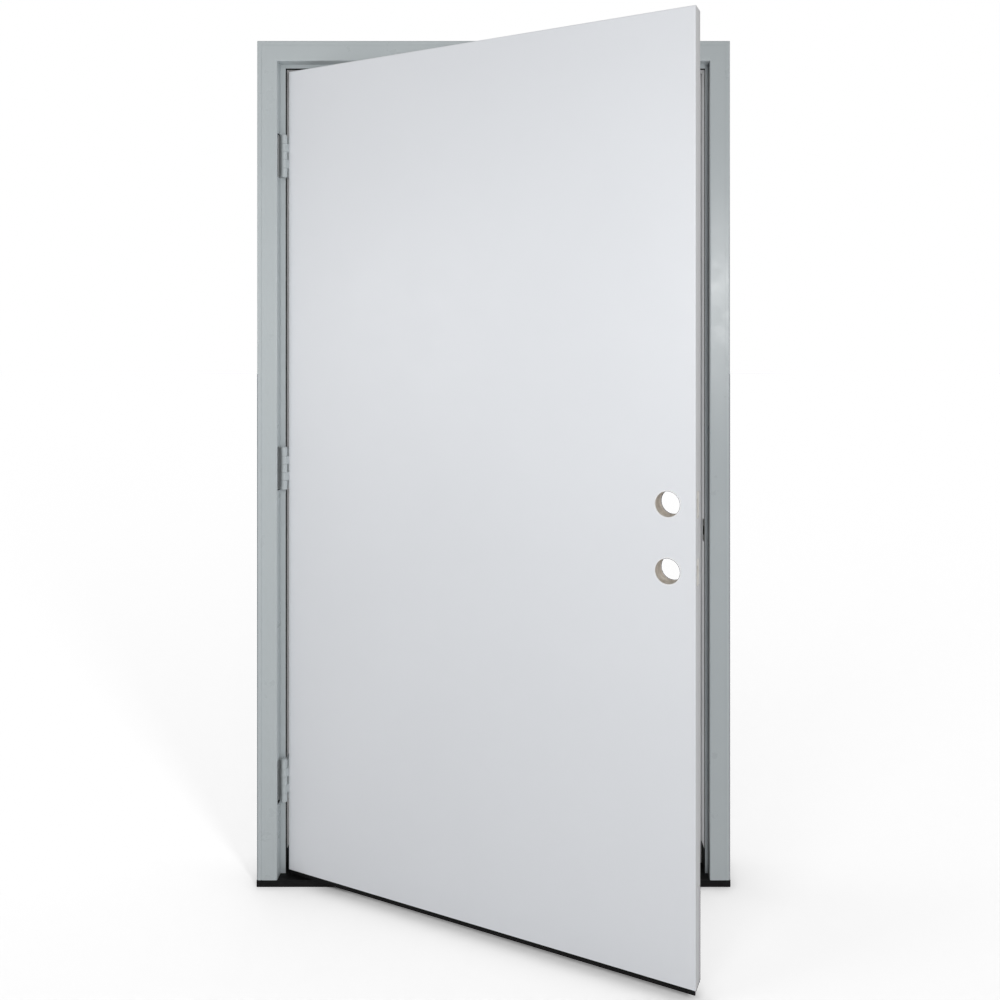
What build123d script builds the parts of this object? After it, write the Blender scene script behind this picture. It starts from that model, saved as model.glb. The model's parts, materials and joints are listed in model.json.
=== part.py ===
from build123d import *
import os
from math import radians, tan

# Prehung out-swing entrance door: a flush fibreglass leaf hung on three butt hinges in a
# rabbeted, cased frame on a bumper sill. Millimetres, +X right and -Y outside, +Z up.
# The origin is on the sill's underside, midway between the jambs, at the jambs' outer edge.

# Opening and leaf
opening_width = 1066.8
opening_height = 2046.0
side_gap = 5.2
head_gap = 9.0
leaf_thickness = 44.45
leaf_bottom_height = 27.0
lock_bevel_angle = 3.0
leaf_edge_radius = 3.0
open_angle = 25.5

# Leaf construction
skin_thickness = 2.0
stile_width = 32.0
top_rail_height = 38.0
bottom_rail_height = 70.0
lock_block_width = 92.0
lock_block_height = 330.0

# Lock preparation
cross_bore_radius = 26.99
bore_backset = 60.3
latch_height = 884.0
bore_spacing = 139.7
edge_bore_radius = 12.7
faceplate_height = 57.15
faceplate_width = 25.4
faceplate_depth = 3.0
faceplate_corner_radius = 6.35

# Jambs and head
jamb_thickness = 19.0
jamb_depth = 116.0
stop_height = 12.7
stop_clearance = 10.05
jamb_edge_radius = 1.2
stop_edge_radius = 2.0

# Weatherstrip and its kerf
kerf_width = 2.6
kerf_depth = 9.0
kerf_inset = 5.0
barb_play = 0.3
barb_reach = 7.5
seal_thickness = 5.0
seal_inset = 1.0
seal_radius = 2.0

# Black gasket let into the rabbet behind the frame's outer edge
gasket_start = 1.5
gasket_width = 12.0
gasket_thickness = 3.0

# Black pad let into the rabbet at the foot of each jamb
pad_height = 56.0
pad_thickness = 1.5

# Casing
casing_width = 50.8
casing_thickness = 32.0
hinge_side_reveal = 13.0
strike_side_reveal = 6.0
head_reveal = 9.5
casing_inner_radius = 3.0
casing_outer_radius = 4.0
quirk_offset = 39.0
quirk_width = 1.6
quirk_depth = 0.6

# Pocket in the hinge-side casing beside each barrel
relief_lip = 5.0
relief_margin = 1.0

# Sill
deck_height = 16.0
deck_thickness = 4.0
nose_thickness = 4.0
nose_rib_heights = (7.3, 13.3)
nose_rib_groove = 1.2
flute_depth = 0.8
flute_width = 2.4
flute_pitch = 6.4
flute_count = 12
flute_start = 4.0
bumper_height = 24.0
bumper_crown = 13.0
bumper_chamfer = 2.0
ramp_run = 8.0
ramp_top_height = 18.0
ramp_back_height = 14.0
sill_seal_lift = 6.0
sill_seal_height = 13.0

# Sweep under the leaf
sweep_height = 6.0
sweep_base = 2.8
sweep_fin = 3.0
sweep_fin_count = 3
sweep_end_inset = 1.5
sweep_face_inset = 0.6

# Butt hinges
hinge_height = 101.6
bottom_hinge_offset = 230.0
top_hinge_offset = 216.0
hinge_names = ("bottom", "middle", "top")
hinge_plate_reach = 38.0
hinge_plate_thickness = 2.3
hinge_corner_radius = 6.35
mortise_clearance = 0.3
knuckle_count = 5
knuckle_radius = 8.0
knuckle_gap = 0.4
knuckle_relief = 0.5
pin_radius = 3.2
pin_play = 0.05
pin_offset = 9.0
pin_setback = 3.9
pin_cap_radius = 7.2
pin_cap_height = 3.2
pin_cap_chamfer = 1.4
knuckle_plug_height = 3.0

# Latch strike
strike_height = 57.15
strike_width = 35.0
strike_thickness = 1.8
strike_start = 1.5
strike_corner_radius = 5.0
strike_hole_height = 24.0
strike_hole_width = 15.0
strike_hole_radius = 3.0
dust_box_depth = 14.0
dust_box_wall = 1.2
dust_box_play = 0.4

# Worked-out places
half_opening = opening_width / 2
jamb_outer = half_opening + jamb_thickness
stop_face = half_opening - stop_height
rabbet_depth = leaf_thickness + stop_clearance
head_underside = deck_height + opening_height
head_top = head_underside + jamb_thickness
leaf_half = half_opening - side_gap
leaf_top_height = head_underside - head_gap
casing_inner = {-1: half_opening + hinge_side_reveal, 1: half_opening + strike_side_reveal}
casing_outer = {side: inner + casing_width for side, inner in casing_inner.items()}
frame_left = -casing_outer[-1]
frame_right = casing_outer[1]
head_casing_inner = head_underside + head_reveal
head_casing_outer = head_casing_inner + casing_width
pin_x = side_gap / 2 - half_opening - pin_setback
pin_y = -pin_offset
bottom_hinge = leaf_bottom_height + bottom_hinge_offset
top_hinge = leaf_top_height - top_hinge_offset
hinge_centres = (bottom_hinge, (bottom_hinge + top_hinge) / 2, top_hinge)
knuckle_pitch = (hinge_height + knuckle_gap) / knuckle_count
knuckle_length = knuckle_pitch - knuckle_gap
bore_x = leaf_half - bore_backset
bore_heights = (latch_height, latch_height + bore_spacing)


def block(x_low, x_high, y_low, y_high, z_low, z_high):
    """A box between two corners."""
    centre = Pos((x_low + x_high) / 2, (y_low + y_high) / 2, (z_low + z_high) / 2)
    return centre * Box(x_high - x_low, y_high - y_low, z_high - z_low)


def upright_prism(profile, z_low, z_high):
    """Stand a plan profile up between two heights."""
    return extrude(Pos(0, 0, z_low) * profile, amount=z_high - z_low, dir=(0, 0, 1))


def cross_prism(points, x_low, x_high):
    """Run a profile given in depth and height along the sill."""
    profile = Plane.YZ.offset(x_low) * make_face(Polyline(*points, close=True))
    return extrude(profile, amount=x_high - x_low, dir=(1, 0, 0))


def mirrored(shape):
    """The same profile or solid for the other side of the doorway."""
    return mirror(shape, about=Plane.YZ)


# Frame: jambs, head, stops and seals

def jamb_profile():
    """Strike-side jamb in plan: rabbet, stop, the seal's kerf and the gasket's groove."""
    points = [
        (half_opening, 0),
        (jamb_outer, 0),
        (jamb_outer, jamb_depth),
        (stop_face, jamb_depth),
        (stop_face, rabbet_depth),
        (half_opening, rabbet_depth),
    ]
    profile = make_face(Polyline(*points, close=True))
    stop_corners = profile.vertices().group_by(Axis.X)[0]
    profile = fillet(stop_corners, stop_edge_radius)
    front_corners = profile.vertices().group_by(Axis.Y)[0]
    profile = fillet(front_corners, jamb_edge_radius)
    kerf = Rectangle(kerf_width, kerf_depth, align=(Align.CENTER, Align.MIN))
    return profile - Pos(half_opening - kerf_inset, rabbet_depth) * kerf - gasket_profile()


def gasket_profile():
    """Strike-side gasket in plan, flush with the rabbet."""
    strip = Rectangle(gasket_thickness, gasket_width, align=(Align.MIN, Align.MIN))
    return Pos(half_opening, gasket_start) * strip


def seal_profile():
    """Strike-side seal in plan: a soft bulb on the stop and a barb in the kerf."""
    bulb_width = stop_height - seal_inset - barb_play
    bulb_centre = half_opening - barb_play - bulb_width / 2
    bulb = Pos(bulb_centre, rabbet_depth - seal_thickness / 2) * Rectangle(bulb_width, seal_thickness)
    bulb = fillet(bulb.vertices().group_by(Axis.Y)[0], seal_radius)
    barb = Rectangle(kerf_width - 2 * barb_play, barb_reach, align=(Align.CENTER, Align.MIN))
    return bulb + Pos(half_opening - kerf_inset, rabbet_depth) * barb


def without_strike(solid):
    """Cut the strike's mortise and its pocket out of a strike-side piece."""
    return solid - strike_plate_blank(mortise_clearance) - dust_box_blank(dust_box_play)


def without_hinges(solid):
    """Cut the mortises of the hinge plates out of a hinge-side piece."""
    for centre in hinge_centres:
        solid -= hinge_plate_blank(centre, -half_opening, -1, mortise_clearance)
    return solid


def corner_pad():
    """Strike-side pad, from the gasket to the stop and flush with the rabbet."""
    return block(half_opening, half_opening + pad_thickness, gasket_start + gasket_width, rabbet_depth,
                 deck_height, deck_height + pad_height)


def strike_jamb():
    return without_strike(upright_prism(jamb_profile(), deck_height, head_top)) - corner_pad()


def hinge_jamb():
    jamb = upright_prism(mirrored(jamb_profile()), deck_height, head_top)
    return without_hinges(jamb) - mirrored(corner_pad())


def strike_side_gasket():
    return without_strike(upright_prism(gasket_profile(), deck_height, head_underside))


def hinge_side_gasket():
    return without_hinges(upright_prism(mirrored(gasket_profile()), deck_height, head_underside))


def head_gasket():
    return head_run(gasket_profile(), half_opening)


def head_plane(x_low):
    """A plane across the head: its first direction is up, its second runs inwards."""
    return Plane(origin=(x_low, 0, head_underside - half_opening), x_dir=(0, 0, 1), z_dir=(-1, 0, 0))


def head_run(profile, half_length):
    """Run a strike-side plan profile along the head."""
    return extrude(head_plane(-half_length) * profile, amount=2 * half_length, dir=(1, 0, 0))


def head_jamb():
    rabbeted = head_run(jamb_profile(), half_opening)
    side_stops = block(stop_face, half_opening, rabbet_depth, jamb_depth, deck_height, head_top)
    return rabbeted - side_stops - mirrored(side_stops)


def side_seal(side):
    profile = seal_profile() if side > 0 else mirrored(seal_profile())
    return upright_prism(profile, deck_height, head_underside - barb_play)


def head_seal():
    return head_run(seal_profile(), stop_face - barb_play)


# Casing

def casing_profile():
    """Casing section: first direction across its width, second out from the wall."""
    outline = Rectangle(casing_width, casing_thickness, align=(Align.MIN, Align.MIN))
    front = outline.vertices().group_by(Axis.Y)[-1].sort_by(Axis.X)
    outline = fillet(front[0], casing_inner_radius)
    outer_corner = outline.vertices().group_by(Axis.Y)[-1].sort_by(Axis.X)[-1]
    outline = fillet(outer_corner, casing_outer_radius)
    quirk = Pos(quirk_offset, casing_thickness) * Rectangle(quirk_width, 2 * quirk_depth)
    return outline - quirk


def mitre_plane(side):
    """The mitre between a side casing and the head casing."""
    return Plane(origin=(side * casing_inner[side], 0, head_casing_inner), z_dir=(-side, 0, 1))


def side_casing(side):
    origin = (side * casing_inner[side], 0, deck_height)
    plane = Plane(origin=origin, x_dir=(side, 0, 0), z_dir=(0, 0, -side))
    upright = extrude(plane * casing_profile(), amount=head_casing_outer - deck_height, dir=(0, 0, 1))
    return split(upright, bisect_by=mitre_plane(side), keep=Keep.BOTTOM)


def hinge_side_casing():
    """The casing beside the hinges, with a pocket for each barrel as deep as the jamb reaches."""
    casing = side_casing(-1)
    below = hinge_height / 2 + knuckle_plug_height + relief_margin
    above = hinge_height / 2 + pin_cap_height + relief_margin
    for centre in hinge_centres:
        casing -= block(-jamb_outer, -casing_inner[-1], relief_lip - casing_thickness, 0,
                        centre - below, centre + above)
    return casing


def head_casing():
    plane = Plane(origin=(frame_left, 0, head_casing_inner), x_dir=(0, 0, 1), z_dir=(1, 0, 0))
    run = extrude(plane * casing_profile(), amount=frame_right - frame_left, dir=(1, 0, 0))
    for side in (-1, 1):
        run = split(run, bisect_by=mitre_plane(side), keep=Keep.TOP)
    return run


# Sill

def sill_base():
    substrate_front = nose_thickness - casing_thickness
    return block(frame_left, frame_right, substrate_front, jamb_depth, 0, deck_height - deck_thickness)


def sill_deck():
    """Metal deck with a ribbed nose and flutes that run along the sill."""
    front = -casing_thickness
    inner_front = front + nose_thickness
    underside = deck_height - deck_thickness
    points = [
        (front, 0),
        (front, deck_height),
        (jamb_depth, deck_height),
        (jamb_depth, underside),
        (inner_front, underside),
        (inner_front, 0),
    ]
    deck = cross_prism(points, frame_left, frame_right)
    for height in nose_rib_heights:
        half_groove = nose_rib_groove / 2
        deck -= block(frame_left, frame_right, front, front + flute_depth,
                      height - half_groove, height + half_groove)
    for index in range(flute_count):
        flute_y = flute_start + index * flute_pitch - casing_thickness
        deck -= block(frame_left, frame_right, flute_y, flute_y + flute_width,
                      deck_height - flute_depth, deck_height)
    return deck


def sill_bumper():
    """Raised inner part that the leaf closes against, ramped down to the room."""
    top = deck_height + bumper_height
    crown_end = rabbet_depth + bumper_crown
    points = [
        (rabbet_depth, deck_height),
        (rabbet_depth, top - bumper_chamfer),
        (rabbet_depth + bumper_chamfer, top),
        (crown_end, top),
        (crown_end + ramp_run, deck_height + ramp_top_height),
        (jamb_depth, deck_height + ramp_back_height),
        (jamb_depth, deck_height),
    ]
    return cross_prism(points, -stop_face, stop_face)


def sill_seal():
    low = deck_height + sill_seal_lift
    half_length = stop_face + seal_inset - barb_play
    seal = block(-half_length, half_length, rabbet_depth - seal_thickness, rabbet_depth,
                 low, low + sill_seal_height)
    front_edges = seal.edges().filter_by(Axis.X).group_by(Axis.Y)[0]
    return fillet(front_edges, seal_radius)


# Hinges

def hinge_plate_blank(centre, edge_x, side, clearance):
    """Plate let into an edge: side is -1 for the jamb's and 1 for the leaf's."""
    reach = hinge_plate_reach + clearance
    height = hinge_height + 2 * clearance
    outline = Pos(pin_y, 0) * Rectangle(reach - pin_y, height, align=(Align.MIN, Align.CENTER))
    inner_corners = outline.vertices().group_by(Axis.X)[-1]
    outline = fillet(inner_corners, hinge_corner_radius + clearance)
    plane = Plane(origin=(edge_x, 0, centre), x_dir=(0, 1, 0), z_dir=(1, 0, 0))
    return extrude(plane * outline, amount=hinge_plate_thickness, dir=(side, 0, 0))


def knuckle(centre, index):
    low = centre - hinge_height / 2 + index * knuckle_pitch
    barrel = Cylinder(knuckle_radius, knuckle_length, align=(Align.CENTER, Align.CENTER, Align.MIN))
    return Pos(pin_x, pin_y, low) * barrel


def hinge_half(centre, edge_x, side, first_knuckle):
    """One leaf of a butt hinge with every second knuckle."""
    plate = hinge_plate_blank(centre, edge_x, side, 0)
    relief_end = pin_y + knuckle_radius + knuckle_relief
    for index in range(1 - first_knuckle, knuckle_count, 2):
        low = centre - hinge_height / 2 + index * knuckle_pitch - knuckle_gap
        high = low + knuckle_length + 2 * knuckle_gap
        plate -= block(-jamb_outer, 0, pin_y - knuckle_radius, relief_end, low, high)
    for index in range(first_knuckle, knuckle_count, 2):
        plate += knuckle(centre, index)
    plate -= Pos(pin_x, pin_y, centre) * Cylinder(pin_radius + pin_play, hinge_height)
    return plate


def jamb_hinge_half(centre):
    half = hinge_half(centre, -half_opening, -1, 0)
    low = centre - hinge_height / 2
    plug = Cylinder(knuckle_radius, knuckle_plug_height, align=(Align.CENTER, Align.CENTER, Align.MAX))
    plug = chamfer(plug.edges().group_by(Axis.Z)[0], knuckle_plug_height / 3)
    return half + Pos(pin_x, pin_y, low) * plug


def hinge_pin(centre):
    low = centre - hinge_height / 2
    shaft = Cylinder(pin_radius, hinge_height, align=(Align.CENTER, Align.CENTER, Align.MIN))
    cap = Cylinder(pin_cap_radius, pin_cap_height, align=(Align.CENTER, Align.CENTER, Align.MIN))
    cap = chamfer(cap.edges().group_by(Axis.Z)[-1], pin_cap_chamfer)
    return Pos(pin_x, pin_y, low) * (shaft + Pos(0, 0, hinge_height) * cap)


# Strike

def strike_outline(clearance):
    corner = strike_corner_radius + clearance
    return RectangleRounded(strike_width + 2 * clearance, strike_height + 2 * clearance, corner)


def rabbet_plane(depth):
    """A plane on the strike jamb's rabbet at latch height, first direction inwards, second up."""
    return Plane(origin=(half_opening, depth, latch_height), x_dir=(0, 1, 0), z_dir=(1, 0, 0))


def strike_plate_blank(clearance):
    face = rabbet_plane(strike_start + strike_width / 2) * strike_outline(clearance)
    return extrude(face, amount=strike_thickness, dir=(1, 0, 0))


def strike_hole(growth, depth):
    outline = RectangleRounded(strike_hole_width + 2 * growth, strike_hole_height + 2 * growth,
                               strike_hole_radius + growth)
    return extrude(rabbet_plane(leaf_thickness / 2) * outline, amount=depth, dir=(1, 0, 0))


def strike_plate():
    return strike_plate_blank(0) - strike_hole(0, strike_thickness)


def dust_box_blank(play):
    return strike_hole(dust_box_wall + play, strike_thickness + dust_box_depth)


def dust_box():
    pocket = strike_hole(0, strike_thickness + dust_box_depth - dust_box_wall)
    return dust_box_blank(0) - pocket - strike_plate_blank(0)


# Leaf, modelled closed

def leaf_envelope():
    """The whole leaf: bevelled lock edge and lightly rounded face edges."""
    bevel = leaf_thickness * tan(radians(lock_bevel_angle))
    points = [
        (-leaf_half, 0),
        (leaf_half, 0),
        (leaf_half - bevel, leaf_thickness),
        (-leaf_half, leaf_thickness),
    ]
    profile = make_face(Polyline(*points, close=True))
    envelope = upright_prism(profile, leaf_bottom_height, leaf_top_height)
    front_edges = envelope.faces().sort_by(Axis.Y)[0].edges()
    back_edges = envelope.faces().sort_by(Axis.Y)[-1].edges()
    return fillet(front_edges + back_edges, leaf_edge_radius)


def lock_cuts():
    """Both cross bores with their edge bores and faceplate mortises."""
    cuts = []
    middle = leaf_thickness / 2
    for height in bore_heights:
        cross = Pos(bore_x, middle, height) * Rot(90, 0, 0) * Cylinder(cross_bore_radius, 2 * leaf_thickness)
        edge_plane = Plane(origin=(bore_x, middle, height), x_dir=(0, 1, 0), z_dir=(1, 0, 0))
        edge = extrude(edge_plane * Circle(edge_bore_radius), amount=2 * bore_backset, dir=(1, 0, 0))
        outline = RectangleRounded(faceplate_width, faceplate_height, faceplate_corner_radius)
        mouth = extrude(edge_plane * outline, amount=2 * bore_backset, dir=(1, 0, 0))
        lock_edge = leaf_half - middle * tan(radians(lock_bevel_angle))
        shelf = lock_edge - faceplate_depth
        beyond = block(bore_x, shelf, 0, leaf_thickness, height - faceplate_height, height + faceplate_height)
        cuts += [cross, edge, mouth - beyond]
    return cuts


def inner_depths():
    return skin_thickness, leaf_thickness - skin_thickness


def leaf_block(x_low, x_high, z_low, z_high):
    front, back = inner_depths()
    return block(x_low, x_high, front, back, z_low, z_high)


def hinge_stile(envelope):
    stile = leaf_block(-leaf_half, -leaf_half + stile_width, leaf_bottom_height, leaf_top_height) & envelope
    for centre in hinge_centres:
        stile -= hinge_plate_blank(centre, -leaf_half, 1, mortise_clearance)
    return stile


def lock_stile(envelope, cuts):
    stile = leaf_block(leaf_half - stile_width, leaf_half, leaf_bottom_height, leaf_top_height) & envelope
    for cut in cuts:
        stile -= cut
    return stile


def skin(front, envelope, cuts):
    depth = 0 if front else leaf_thickness - skin_thickness
    sheet = block(-leaf_half, leaf_half, depth, depth + skin_thickness, leaf_bottom_height, leaf_top_height)
    sheet = sheet & envelope
    for cut in cuts:
        sheet -= cut
    for centre in hinge_centres:
        sheet -= hinge_plate_blank(centre, -leaf_half, 1, mortise_clearance)
    return sheet


def lock_block_span():
    """Lock block corners: across the leaf, then up it."""
    right = leaf_half - stile_width
    middle = sum(bore_heights) / 2
    return right - lock_block_width, right, middle - lock_block_height / 2, middle + lock_block_height / 2


def lock_block(cuts):
    body = leaf_block(*lock_block_span())
    for cut in cuts:
        body -= cut
    return body


def rails(envelope):
    inner = leaf_half - stile_width
    top = leaf_block(-inner, inner, leaf_top_height - top_rail_height, leaf_top_height)
    bottom = leaf_block(-inner, inner, leaf_bottom_height, leaf_bottom_height + bottom_rail_height)
    return top & envelope, bottom & envelope


def foam_core():
    inner = leaf_half - stile_width
    core = leaf_block(-inner, inner, leaf_bottom_height + bottom_rail_height, leaf_top_height - top_rail_height)
    return core - leaf_block(*lock_block_span())


def door_sweep():
    """Comb section under the leaf: a base strip with hanging fins."""
    front = sweep_face_inset
    back = leaf_thickness - sweep_face_inset
    bottom = leaf_bottom_height - sweep_height
    bevel = leaf_thickness * tan(radians(lock_bevel_angle))
    left = sweep_end_inset - leaf_half
    right = leaf_half - bevel - sweep_end_inset
    strip = block(left, right, front, back, leaf_bottom_height - sweep_base, leaf_bottom_height)
    fin_pitch = (back - front - sweep_fin) / (sweep_fin_count - 1)
    for index in range(sweep_fin_count):
        fin_front = front + index * fin_pitch
        strip += block(left, right, fin_front, fin_front + sweep_fin, bottom, leaf_bottom_height - sweep_base)
    return strip


def frame_parts():
    parts = {
        "hinge_jamb": hinge_jamb(),
        "strike_jamb": strike_jamb(),
        "head_jamb": head_jamb(),
        "hinge_side_casing": hinge_side_casing(),
        "strike_side_casing": side_casing(1),
        "head_casing": head_casing(),
        "sill_base": sill_base(),
        "sill_deck": sill_deck(),
        "sill_bumper": sill_bumper(),
        "sill_seal": sill_seal(),
        "hinge_side_seal": side_seal(-1),
        "strike_side_seal": side_seal(1),
        "head_seal": head_seal(),
        "hinge_side_gasket": hinge_side_gasket(),
        "strike_side_gasket": strike_side_gasket(),
        "head_gasket": head_gasket(),
        "hinge_side_corner_pad": mirrored(corner_pad()),
        "strike_side_corner_pad": corner_pad(),
        "latch_strike": strike_plate(),
        "latch_dust_box": dust_box(),
    }
    for name, centre in zip(hinge_names, hinge_centres):
        parts[name + "_hinge_jamb_leaf"] = jamb_hinge_half(centre)
        parts[name + "_hinge_pin"] = hinge_pin(centre)
    return parts


def door_parts():
    envelope = leaf_envelope()
    cuts = lock_cuts()
    top_rail, bottom_rail = rails(envelope)
    parts = {
        "exterior_skin": skin(True, envelope, cuts),
        "interior_skin": skin(False, envelope, cuts),
        "hinge_stile": hinge_stile(envelope),
        "lock_stile": lock_stile(envelope, cuts),
        "top_rail": top_rail,
        "bottom_rail": bottom_rail,
        "lock_block": lock_block(cuts),
        "foam_core": foam_core(),
        "door_sweep": door_sweep(),
    }
    for name, centre in zip(hinge_names, hinge_centres):
        parts[name + "_hinge_door_leaf"] = hinge_half(centre, -leaf_half, 1, 1)
    return parts


def main():
    os.makedirs("parts", exist_ok=True)
    pin_line = Axis((pin_x, pin_y, 0), (0, 0, 1))
    parts = frame_parts()
    for name, solid in door_parts().items():
        parts[name] = solid.rotate(pin_line, -open_angle)
    for name, solid in parts.items():
        export_step(solid, "parts/" + name + ".step")


main()
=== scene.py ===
import json
from math import cos, pi, radians, sin, tan

import bmesh
import bpy
from mathutils import Matrix, Vector
from mathutils.geometry import delaunay_2d_cdt


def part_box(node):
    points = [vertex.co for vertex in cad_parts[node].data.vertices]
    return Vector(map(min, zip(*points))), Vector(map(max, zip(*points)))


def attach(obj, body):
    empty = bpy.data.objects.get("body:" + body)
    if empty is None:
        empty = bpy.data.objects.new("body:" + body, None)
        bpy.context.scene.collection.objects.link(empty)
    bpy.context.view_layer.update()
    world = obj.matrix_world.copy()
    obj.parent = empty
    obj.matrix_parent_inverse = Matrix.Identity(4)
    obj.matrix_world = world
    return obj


# Dresses a cased out-swing entrance door: paint, wood, metal and rubber finishes, screws and
# small trim, a pale floor and soft light. Metres, -Y outside, +Z up.

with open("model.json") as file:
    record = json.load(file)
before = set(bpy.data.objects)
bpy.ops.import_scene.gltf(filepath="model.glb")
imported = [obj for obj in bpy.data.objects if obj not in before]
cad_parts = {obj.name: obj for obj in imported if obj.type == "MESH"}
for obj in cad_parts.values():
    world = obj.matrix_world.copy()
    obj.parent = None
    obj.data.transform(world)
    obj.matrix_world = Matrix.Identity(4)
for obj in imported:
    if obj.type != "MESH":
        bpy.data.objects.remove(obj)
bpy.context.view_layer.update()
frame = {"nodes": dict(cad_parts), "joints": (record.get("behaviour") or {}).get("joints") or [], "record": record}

# Sizes of the leaf that the frame doesn't state
side_gap = 0.0052
backset = 0.0603
lock_bevel = radians(3.0)

# Places read from the frame
half_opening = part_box("head_jamb")[1].x
swing = frame["joints"][0]
pin = Vector(swing["pos_m"])
rest_opening = -radians(swing["range_deg"][0])
leaf_edge_x = side_gap - half_opening
cross_bores = [mount for mount in frame["record"]["mounts"] if mount["name"].endswith("cross_bore")]
bore_x = -leaf_edge_x - backset
leaf_bottom, leaf_top = (corner.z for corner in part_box("exterior_skin"))
leaf_from_closed = (
    Matrix.Translation(pin) @ Matrix.Rotation(-rest_opening, 4, "Z") @ Matrix.Translation(-pin)
)

# Camera: level, with the photograph's framing
focal_px = 933.0
image_px = 1000.0
sensor_mm = 36.0
camera_place = Vector((0.091, -2.372, 1.336))
centre_px = (531.2, 354.0)

# Surroundings: how bright the backdrop looks, what light comes from behind and in front and how soon
# one turns into the other, how far the floor reaches, where the soft lights aim, and each one's place,
# size and power
backdrop = 1.0
world_behind = 0.70
world_front = 0.33
world_turn = 0.15
floor_reach = 60.0
light_aim = (0.0, -0.1, 1.2)
studio_lights = {
    "sheen": ((1.05, -2.4, 1.62), (0.35, 0.5), 15.9),
    "near_left": ((-0.5, -1.9, 1.55), (0.5, 0.5), 4.2),
    "left_side": ((-1.8, -1.2, 1.5), (0.8, 0.8), 6.0),
    "high": ((0.0, -3.5, 3.2), (1.5, 1.5), 10.1),
}

# Paint: the frame's two tones, and the texture of a sprayed coat
frame_light = (0.514, 0.557, 0.570, 1.0)
frame_dark = (0.500, 0.543, 0.557, 1.0)
peel_scale = 900.0
peel_depth = 0.00002

# Pockets in the casing beside the hinges: the lip in front of them, how far they reach in, and their near-black
# tone, painted shade for the dark hollow inside them
relief_lip = 0.005
relief_reach = 0.0065
pocket_shade_tone = 0.012

# Seals on the stops, which show as a pale line between the leaf and the frame
pale_seals = ("hinge_side_seal", "strike_side_seal", "head_seal")

# Painted shade on the strike-side casing's inner wall: its share, its tone and its depth into the wall
strike_wall_shade = 0.95
strike_wall_shade_tone = 0.02
strike_wall_skin = 0.0004

# Where one finish turns into another: round a dark place, behind the jamb's edge, and where a cut
# bares the core of the leaf's edge
dark_fade = (0.0001, 0.0003)
jamb_edge_fade = (0.0011, 0.0014)
bare_core_fade = (0.0012, 0.0018)

# Rubber lip of the sweep: its drop below the leaf and its rise up the rounded edge, then its front,
# its back and its chamfer, and how far it stops short of the leaf's sides
lip_drop = 0.0085
lip_rise = 0.0025
lip_front = 0.0004
lip_depth = 0.004
lip_chamfer = 0.001
lip_inset = 0.002

# The leaf's edges turn greyer towards the back, a painted shade: where, by what share and towards what tone
edge_shade_span = (0.024, 0.032)
rear_shade_share = 0.15
rear_shade_tone = 0.2

# Pale lip round each bore: its width, its rise and its sections
rim_width = 0.0020
rim_rise = 0.0003
rim_steps = 96

# Screws
screw_head_radius = 0.0042
screw_head_rise = 0.0003
screw_slot_reach = 0.0024
screw_slot_half = 0.00055
screw_slot_depth = 0.0011
screw_sink = 0.0006
screw_crown_share = 0.82
screw_recess_taper = 0.8
circle_points = 32
weld_distance = 1e-7

# Hinge plate screws: across the plate from the jamb's outer edge, and up from its middle
hinge_screws = ((0.012, 0.0385), (0.027, 0.0150), (0.027, -0.0150), (0.012, -0.0385))
strike_screw_rise = 0.0215

# Angle of each recess: a hinge plate's first screw, the step from screw to screw, and the strike's
screw_turn = 0.7
screw_turn_step = 1.1
strike_screw_turn = 0.4


class Graph:
    """A node material under construction."""

    def __init__(self, name):
        self.material = bpy.data.materials.new(name)
        self.material.use_nodes = True
        self.tree = self.material.node_tree
        self.shader = self.tree.nodes["Principled BSDF"]
        self.place = self.add("ShaderNodeTexCoord").outputs["Object"]

    def feed(self, socket, value):
        """Link an input to another node's output, or set it to a constant."""
        if isinstance(value, bpy.types.NodeSocket):
            self.tree.links.new(value, socket)
        else:
            socket.default_value = value

    def add(self, kind, inputs=None, **settings):
        node = self.tree.nodes.new(kind)
        for key, value in settings.items():
            setattr(node, key, value)
        for key, value in (inputs or {}).items():
            self.feed(node.inputs[key], value)
        return node

    def stretched(self, scale, turn=(0, 0, 0)):
        inputs = {"Vector": self.place, "Scale": scale, "Rotation": turn}
        return self.add("ShaderNodeMapping", inputs).outputs["Vector"]

    def closed_leaf_place(self):
        """Coordinates that follow the leaf as if it were closed: across, through and up it."""
        moved = self.add("ShaderNodeVectorMath", {0: self.place, 1: pin}, operation="SUBTRACT").outputs[0]
        turned = self.add("ShaderNodeMapping", {"Vector": moved, "Rotation": (0, 0, rest_opening)})
        place = self.add("ShaderNodeVectorMath", {0: turned.outputs["Vector"], 1: pin}, operation="ADD")
        return place.outputs[0]

    def maths(self, operation, first, second=0.0):
        return self.add("ShaderNodeMath", {0: first, 1: second}, operation=operation).outputs[0]

    def noise(self, scale, detail=3.0, roughness=0.55, place=None):
        inputs = {"Vector": place or self.place, "Scale": scale, "Detail": detail, "Roughness": roughness}
        return self.add("ShaderNodeTexNoise", inputs).outputs["Fac"]

    def spread(self, value, low, high, out_low, out_high):
        inputs = {"Value": value, "From Min": low, "From Max": high, "To Min": out_low, "To Max": out_high}
        return self.add("ShaderNodeMapRange", inputs).outputs["Result"]

    def blend(self, factor, first, second):
        """Mix two colours; 6, 7 and 2 are the places of the mix node's colour sockets."""
        return self.add("ShaderNodeMix", {0: factor, 6: first, 7: second}, data_type="RGBA").outputs[2]

    def bump(self, height, distance, strength=1.0):
        inputs = {"Height": height, "Distance": distance, "Strength": strength}
        return self.add("ShaderNodeBump", inputs).outputs["Normal"]

    def finish(self, colour, roughness, normal, **constants):
        """Feed the shader, and give back the finished material."""
        self.feed(self.shader.inputs["Base Color"], colour)
        self.feed(self.shader.inputs["Roughness"], roughness)
        self.feed(self.shader.inputs["Normal"], normal)
        for key, value in constants.items():
            self.shader.inputs[key.replace("_", " ")].default_value = value
        return self.material


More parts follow.
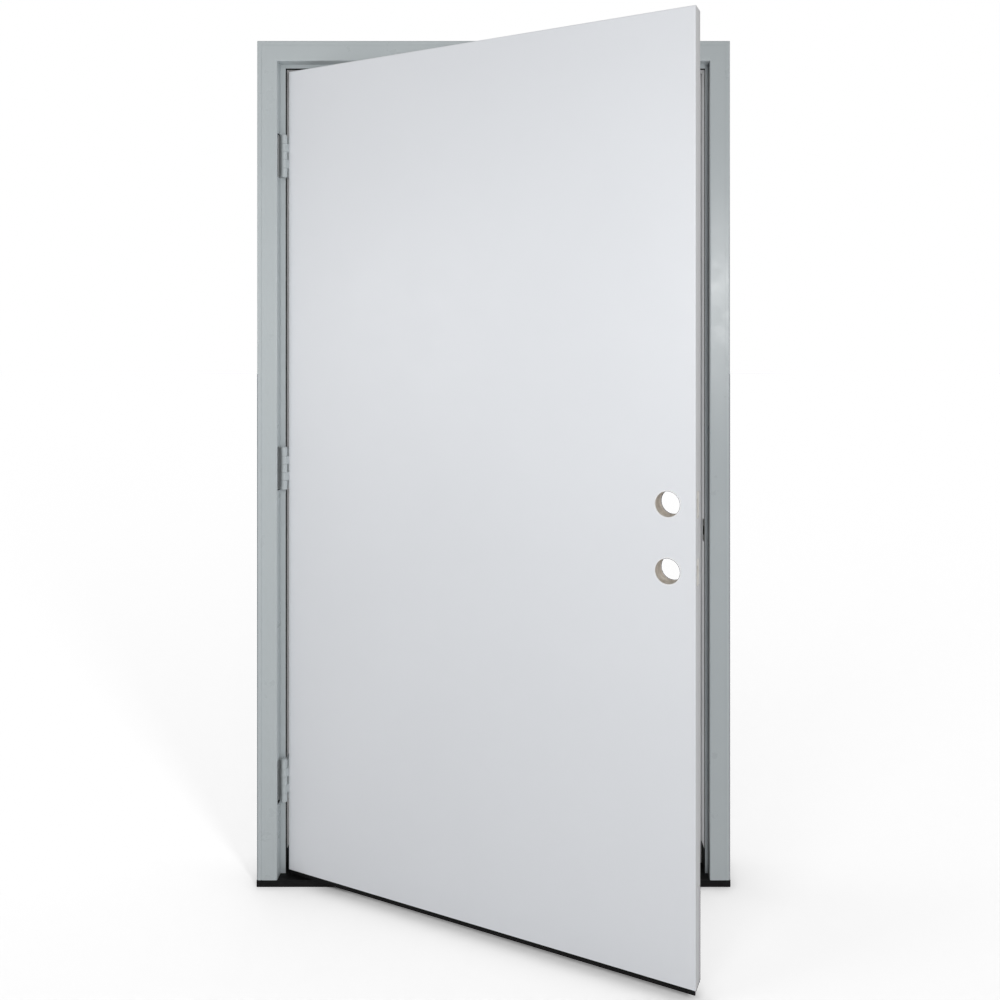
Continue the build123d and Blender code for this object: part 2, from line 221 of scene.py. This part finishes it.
def grey(level):
    return (level, level, level, 1.0)


def paint_colour(graph, light, dark):
    """Paint that clouds faintly between two tones."""
    cloud = graph.spread(graph.noise(3.0, 4.0), 0.35, 0.65, 0.0, 1.0)
    return graph.blend(cloud, dark, light)


def paint_coat(graph, light, dark, gloss_low, gloss_high):
    """Satin paint's colour, its uneven gloss, and the fine texture of a sprayed coat."""
    smear = graph.spread(graph.noise(14.0, 5.0, 0.6), 0.3, 0.7, gloss_low, gloss_high)
    peel = graph.bump(graph.noise(peel_scale, 2.0), peel_depth, 0.6)
    return paint_colour(graph, light, dark), smear, peel


def paint(name, light, dark, gloss_low, gloss_high):
    graph = Graph(name)
    return graph.finish(*paint_coat(graph, light, dark, gloss_low, gloss_high))


def wood_grain(graph):
    """Grain along the leaf's height."""
    grain_place = graph.stretched((60.0, 60.0, 4.0), (0, 0, rest_opening))
    return graph.noise(1.6, 6.0, 0.6, grain_place)


def frame_finish(name, light, dark, gloss_low, gloss_high):
    """The frame's paint, with painted shade in the pockets beside the hinges and on the strike side's inner wall.
    """
    graph = Graph(name)
    across, through, _ = graph.add("ShaderNodeSeparateXYZ", {0: graph.place}).outputs
    low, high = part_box("hinge_side_casing")
    # Painted shade: near-black inside the pockets beside the hinges
    sunk = graph.maths("SUBTRACT", high.x, across)
    inside = graph.maths("MINIMUM", sunk, graph.maths("SUBTRACT", relief_reach, sunk))
    behind_lip = graph.maths("SUBTRACT", through, low.y + relief_lip)
    covered = graph.maths("MINIMUM", behind_lip, graph.maths("MULTIPLY", through, -1.0))
    pocket = graph.spread(graph.maths("MINIMUM", inside, covered), *dark_fade, 0.0, 1.0)
    # Painted shade: the strike-side casing's inner wall darkened as if it were in shadow
    strike_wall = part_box("strike_side_casing")[0].x
    off_wall = graph.maths("ABSOLUTE", graph.maths("SUBTRACT", across, strike_wall))
    on_wall = graph.maths("SUBTRACT", strike_wall_skin, off_wall)
    wall_painted_shade = graph.spread(graph.maths("MINIMUM", on_wall, behind_lip), *dark_fade, 0.0, strike_wall_shade)
    colour, smear, normal = paint_coat(graph, light, dark, gloss_low, gloss_high)
    shaded = graph.blend(wall_painted_shade, colour, grey(strike_wall_shade_tone))
    return graph.finish(graph.blend(pocket, shaded, grey(pocket_shade_tone)), smear, normal)


def jamb_finish(name, edge_light, edge_dark, light, dark, gloss_low, gloss_high):
    """White jamb paint with the frame's colour on the outer edge."""
    graph = Graph(name)
    through = graph.add("ShaderNodeSeparateXYZ", {0: graph.place}).outputs[1]
    inward = graph.spread(through, *jamb_edge_fade, 0.0, 1.0)
    edge = paint_colour(graph, edge_light, edge_dark)
    white, smear, normal = paint_coat(graph, light, dark, gloss_low, gloss_high)
    return graph.finish(graph.blend(inward, edge, white), smear, normal)


def sawn_wood(name):
    """Bare wood seen inside the bores, rough from the saw."""
    graph = Graph(name)
    grain = wood_grain(graph)
    streak = graph.spread(grain, 0.35, 0.68, 0.0, 1.0)
    colour = graph.blend(streak, (0.42, 0.37, 0.31, 1.0), (0.68, 0.63, 0.56, 1.0))
    return graph.finish(colour, graph.spread(grain, 0.3, 0.7, 0.62, 0.85), graph.bump(grain, 0.0004, 0.7))


def edge_paint(name, light, dark):
    """The leaf's painted edges, with painted shade towards the back and pale bare core where they are cut into."""
    graph = Graph(name)
    across, through, up = graph.add("ShaderNodeSeparateXYZ", {0: graph.closed_leaf_place()}).outputs
    lean = graph.maths("MULTIPLY", through, tan(lock_bevel))
    lock_depth = graph.maths("SUBTRACT", -leaf_edge_x, graph.maths("ADD", across, lean))
    hinge_depth = graph.maths("SUBTRACT", across, leaf_edge_x)
    top_depth = graph.maths("SUBTRACT", leaf_top, up)
    bottom_depth = graph.maths("SUBTRACT", up, leaf_bottom)
    side_depth = graph.maths("MINIMUM", lock_depth, hinge_depth)
    depth = graph.maths("MINIMUM", side_depth, graph.maths("MINIMUM", top_depth, bottom_depth))
    bare = graph.spread(depth, *bare_core_fade, 0.0, 1.0)
    cloud = graph.spread(graph.noise(9.0, 4.0), 0.35, 0.65, 0.0, 1.0)
    grain = wood_grain(graph)
    core = graph.blend(grain, (0.62, 0.60, 0.56, 1.0), (0.84, 0.83, 0.80, 1.0))
    # Painted shade: the edges grow greyer towards the back
    rear_shade = graph.spread(through, *edge_shade_span, 0.0, rear_shade_share)
    painted = graph.blend(rear_shade, graph.blend(cloud, dark, light), grey(rear_shade_tone))
    colour = graph.blend(bare, painted, core)
    return graph.finish(colour, graph.spread(cloud, 0.0, 1.0, 0.45, 0.58), graph.bump(grain, 0.0002, 0.4))


def foam(name):
    """Pale rigid foam with fine cells."""
    graph = Graph(name)
    cells = graph.noise(700.0, 2.0)
    colour = graph.blend(cells, (0.74, 0.66, 0.36, 1.0), (0.86, 0.80, 0.52, 1.0))
    return graph.finish(colour, 0.9, graph.bump(cells, 0.0004))


def anodised(name, level, gloss_low, gloss_high, shine):
    """Dark anodised metal with the fine lines of its extrusion along the sill."""
    graph = Graph(name)
    line_place = graph.stretched((3.0, 900.0, 900.0))
    lines = graph.noise(1.0, 3.0, 0.6, line_place)
    scuff = graph.noise(22.0, 6.0, 0.65)
    colour = graph.blend(graph.spread(scuff, 0.55, 0.8, 0.0, 1.0), grey(level), grey(level * 2.2))
    rough = graph.spread(scuff, 0.3, 0.75, gloss_low, gloss_high)
    return graph.finish(colour, rough, graph.bump(lines, 0.00004, 0.5), Specular_IOR_Level=shine)


def rubber(name, level):
    """Dull black rubber or plastic with a faint bloom."""
    graph = Graph(name)
    bloom = graph.noise(35.0, 5.0, 0.6)
    colour = graph.blend(graph.spread(bloom, 0.4, 0.75, 0.0, 1.0), grey(level), grey(level * 2.0))
    grain = graph.noise(1400.0, 2.0)
    rough = graph.spread(bloom, 0.3, 0.7, 0.55, 0.75)
    return graph.finish(colour, rough, graph.bump(grain, 0.00004), Specular_IOR_Level=0.12)


def plated(name, colour, roughness):
    """Plated metal with fine brush marks."""
    graph = Graph(name)
    brush = graph.noise(1.0, 4.0, 0.6, graph.stretched((60.0, 60.0, 1500.0)))
    rough = graph.spread(brush, 0.3, 0.7, roughness - 0.06, roughness + 0.08)
    return graph.finish(colour, rough, graph.bump(brush, 0.00001, 0.5), Metallic=0.9)


def floor_finish(name):
    """A plain pale floor."""
    graph = Graph(name)
    cloud = graph.noise(0.6, 3.0)
    colour = graph.blend(cloud, grey(0.88), grey(0.92))
    normal = graph.bump(graph.noise(60.0, 3.0), 0.0001, 0.2)
    return graph.finish(colour, 0.9, normal, Specular_IOR_Level=0.0)


def make_materials():
    return {
        "frame_paint": frame_finish("frame_paint", frame_light, frame_dark, 0.26, 0.36),
        "jamb_paint": jamb_finish("jamb_paint", frame_light, frame_dark, grey(0.80), grey(0.78), 0.30, 0.40),
        "hinge_paint": paint("hinge_paint", frame_light, frame_dark, 0.24, 0.34),
        "bore_rim": paint("bore_rim", (0.90, 0.905, 0.91, 1.0), (0.84, 0.845, 0.85, 1.0), 0.40, 0.50),
        "leaf_skin": paint("leaf_skin", (0.790, 0.808, 0.840, 1.0), (0.780, 0.798, 0.830, 1.0), 0.38, 0.48),
        "leaf_edge": edge_paint("leaf_edge", (0.640, 0.645, 0.655, 1.0), (0.600, 0.605, 0.615, 1.0)),
        "block_wood": sawn_wood("block_wood"),
        "core_foam": foam("core_foam"),
        "sill_metal": anodised("sill_metal", 0.006, 0.30, 0.46, 0.22),
        "sill_substrate": rubber("sill_substrate", 0.008),
        "seal_rubber": rubber("seal_rubber", 0.005),
        "pale_seal": paint("pale_seal", grey(0.86), grey(0.82), 0.45, 0.60),
        "strike_metal": plated("strike_metal", (0.035, 0.030, 0.026, 1.0), 0.34),
        "dust_box_plastic": rubber("dust_box_plastic", 0.008),
        "screw_metal": plated("screw_metal", (0.46, 0.47, 0.48, 1.0), 0.32),
        "floor": floor_finish("floor"),
    }


def dress_frame(materials):
    """Give every carried-over solid the material of its slot, and the seals on the stops a pale one."""
    slots = {part["node"]: part["material_slot"] for part in frame["record"]["subparts"]}
    for name, node in frame["nodes"].items():
        choice = "pale_seal" if name in pale_seals else slots[name]
        node.data.materials.clear()
        node.data.materials.append(materials[choice])


def new_piece(name, build, material, body, transform=None):
    """Turn a filled bmesh into a piece that rides on a body."""
    mesh = bpy.data.meshes.new(name)
    build.to_mesh(mesh)
    build.free()
    if transform is not None:
        mesh.transform(transform)
    mesh.materials.append(material)
    piece = bpy.data.objects.new(name, mesh)
    bpy.context.scene.collection.objects.link(piece)
    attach(piece, body)


def bridge(build, low, high):
    """Join two closed loops of corners by a band of faces."""
    for i in range(len(low)):
        j = (i + 1) % len(low)
        build.faces.new((low[i], low[j], high[j], high[i]))


def ring(radius):
    angles = [2 * pi * i / circle_points for i in range(circle_points)]
    return [Vector((radius * cos(angle), radius * sin(angle))) for angle in angles]


def cross_outline():
    """The outline of a cross recess, anticlockwise."""
    reach = screw_slot_reach
    half = screw_slot_half
    arm = [Vector((reach, -half)), Vector((reach, half)), Vector((half, half))]
    points = []
    for quarter in range(4):
        turn = Matrix.Rotation(quarter * pi / 2, 2)
        points += [turn @ corner for corner in arm]
    return points


def add_screw(build, place):
    """A flush screw head with a cross recess; place maps its own +Z to the way it faces."""

    def corners(outline, height, share=1.0):
        return [build.verts.new(place @ Vector((p.x * share, p.y * share, height))) for p in outline]

    outer = ring(screw_head_radius)
    inner = ring(screw_head_radius * screw_crown_share)
    cross = cross_outline()
    rim = corners(outer, 0.0)
    crown = corners(inner, screw_head_rise)
    bridge(build, corners(outer, -screw_sink), rim)
    bridge(build, rim, crown)
    recess_top = corners(cross, screw_head_rise)
    recess_low = corners(cross, screw_head_rise - screw_slot_depth, screw_recess_taper)
    bridge(build, recess_low, recess_top)
    build.faces.new(recess_low)
    points = inner + cross
    edges = [(i, (i + 1) % len(inner)) for i in range(len(inner))]
    edges += [(len(inner) + i, len(inner) + (i + 1) % len(cross)) for i in range(len(cross))]
    flat = crown + recess_top
    for face in delaunay_2d_cdt(points, edges, [], 0, weld_distance)[2]:
        middle = sum((points[i] for i in face), Vector((0, 0))) / len(face)
        in_x_arm = abs(middle.x) < screw_slot_reach and abs(middle.y) < screw_slot_half
        in_y_arm = abs(middle.y) < screw_slot_reach and abs(middle.x) < screw_slot_half
        if not (in_x_arm or in_y_arm):
            build.faces.new([flat[i] for i in face])


def facing(direction, place):
    """A matrix that sets a head at a place, looking along a direction."""
    turn = direction.to_track_quat("Z", "Y").to_matrix().to_4x4()
    return Matrix.Translation(place) @ turn


def hinge_screw_pieces(materials):
    """The screws of each hinge, on the jamb's plate and on the leaf's."""
    for name in ("bottom", "middle", "top"):
        low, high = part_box(name + "_hinge_door_leaf")
        middle = (low.z + high.z) / 2
        jamb_side = bmesh.new()
        leaf_side = bmesh.new()
        for index, (depth, rise) in enumerate(hinge_screws):
            spin = Matrix.Rotation(screw_turn + screw_turn_step * index, 4, "Z")
            on_jamb = facing(Vector((1, 0, 0)), Vector((-half_opening, depth, middle + rise)))
            on_leaf = facing(Vector((-1, 0, 0)), Vector((leaf_edge_x, depth, middle + rise)))
            add_screw(jamb_side, on_jamb @ spin)
            add_screw(leaf_side, on_leaf @ spin)
        new_piece(name + "_hinge_jamb_screws", jamb_side, materials["screw_metal"], "frame")
        new_piece(name + "_hinge_leaf_screws", leaf_side, materials["screw_metal"], "door",
                  leaf_from_closed)


def strike_screw_piece(materials):
    """The strike's two screws, over and under its pocket."""
    pocket_low, pocket_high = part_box("latch_dust_box")
    middle = (pocket_low + pocket_high) / 2
    build = bmesh.new()
    for side in (-1, 1):
        place = Vector((half_opening, middle.y, middle.z + side * strike_screw_rise))
        spin = Matrix.Rotation(strike_screw_turn * side, 4, "Z")
        add_screw(build, facing(Vector((-1, 0, 0)), place) @ spin)
    new_piece("latch_strike_screws", build, materials["strike_metal"], "frame")


def bore_rim_pieces(materials):
    """A thin pale lip round the outer mouth of each cross bore."""
    for mount in cross_bores:
        radius = mount["dims"]["r_mm"] / 1000
        outer = radius + rim_width
        crest = radius + rim_width / 4
        profile = ((radius, rim_rise), (crest, -rim_rise), (outer, -rim_rise / 3), (outer, rim_rise))
        centre = Vector((bore_x, 0.0, mount["pos_m"][2]))
        build = bmesh.new()
        rings = []
        for index in range(rim_steps):
            angle = 2 * pi * index / rim_steps
            spoke = Vector((cos(angle), 0.0, sin(angle)))
            corners = [centre + spoke * reach + Vector((0, depth, 0)) for reach, depth in profile]
            rings.append([build.verts.new(corner) for corner in corners])
        for index, section in enumerate(rings):
            bridge(build, section, rings[(index + 1) % rim_steps])
        bmesh.ops.recalc_face_normals(build, faces=build.faces)
        name = mount["name"].replace("cross_bore", "bore_rim")
        new_piece(name, build, materials["bore_rim"], "door", leaf_from_closed)


def sweep_lip_piece(materials):
    """The sweep's lip, flush with the leaf's face and hanging below its rounded edge."""
    low, high = leaf_bottom - lip_drop, leaf_bottom + lip_rise
    profile = ((lip_front, high), (lip_depth, high), (lip_depth, low), (lip_front + lip_chamfer, low),
               (lip_front, low + lip_chamfer))
    reach = -leaf_edge_x - lip_inset
    build = bmesh.new()
    ends = [[build.verts.new((x, depth, rise)) for depth, rise in profile] for x in (-reach, reach)]
    bridge(build, *ends)
    for end in ends:
        build.faces.new(end)
    bmesh.ops.recalc_face_normals(build, faces=build.faces)
    new_piece("sweep_lip", build, materials["seal_rubber"], "door", leaf_from_closed)


def make_floor(materials):
    """A floor that shows only the shadows on it, so that the backdrop stays white without a seam."""
    build = bmesh.new()
    corners = [(-1, -1), (1, -1), (1, 1), (-1, 1)]
    build.faces.new([build.verts.new((x * floor_reach, y * floor_reach, 0.0)) for x, y in corners])
    mesh = bpy.data.meshes.new("floor")
    build.to_mesh(mesh)
    build.free()
    mesh.materials.append(materials["floor"])
    floor = bpy.data.objects.new("floor", mesh)
    bpy.context.scene.collection.objects.link(floor)
    floor.is_shadow_catcher = True


def make_camera():
    data = bpy.data.cameras.new("camera")
    data.sensor_width = sensor_mm
    data.lens = focal_px / image_px * sensor_mm
    data.shift_x = (image_px / 2 - centre_px[0]) / image_px
    data.shift_y = (centre_px[1] - image_px / 2) / image_px
    camera = bpy.data.objects.new("camera", data)
    camera.location = camera_place
    camera.rotation_euler = (pi / 2, 0, 0)
    bpy.context.scene.collection.objects.link(camera)
    bpy.context.scene.camera = camera


def soft_light(name, place, size, power):
    """A lamp that shines at the door and isn't seen itself."""
    data = bpy.data.lights.new(name, "AREA")
    data.shape = "RECTANGLE"
    data.size, data.size_y = size
    data.energy = power
    light = bpy.data.objects.new(name, data)
    light.location = place
    light.rotation_euler = (Vector(light_aim) - Vector(place)).to_track_quat("-Z", "Y").to_euler()
    light.visible_camera = False
    bpy.context.scene.collection.objects.link(light)


def make_world():
    """A white backdrop for the eye, and weaker light from it: more from behind than from the front."""
    world = bpy.data.worlds.new("studio")
    world.use_nodes = True
    tree = world.node_tree
    sky = tree.nodes["Background"]
    sky.inputs["Color"].default_value = grey(1.0)
    place = tree.nodes.new("ShaderNodeTexCoord")
    parts = tree.nodes.new("ShaderNodeSeparateXYZ")
    level = tree.nodes.new("ShaderNodeMapRange")
    ends = {"From Min": -world_turn, "From Max": world_turn, "To Min": world_front, "To Max": world_behind}
    for key, value in ends.items():
        level.inputs[key].default_value = value
    seen = tree.nodes.new("ShaderNodeLightPath")
    choice = tree.nodes.new("ShaderNodeMix")
    factor, light_level, seen_level = (choice.inputs[index] for index in (0, 2, 3))
    seen_level.default_value = backdrop
    tree.links.new(place.outputs["Generated"], parts.inputs[0])
    tree.links.new(parts.outputs["Y"], level.inputs["Value"])
    tree.links.new(seen.outputs["Is Camera Ray"], factor)
    tree.links.new(level.outputs["Result"], light_level)
    tree.links.new(choice.outputs[0], sky.inputs["Strength"])
    bpy.context.scene.world = world


def make_lights():
    """The backdrop's light, the lamps, and plain colours."""
    make_world()
    for name, (place, size, power) in studio_lights.items():
        soft_light(name, place, size, power)
    bpy.context.scene.view_settings.view_transform = "Standard"


materials = make_materials()
dress_frame(materials)
hinge_screw_pieces(materials)
strike_screw_piece(materials)
bore_rim_pieces(materials)
sweep_lip_piece(materials)
make_floor(materials)
make_camera()
make_lights()
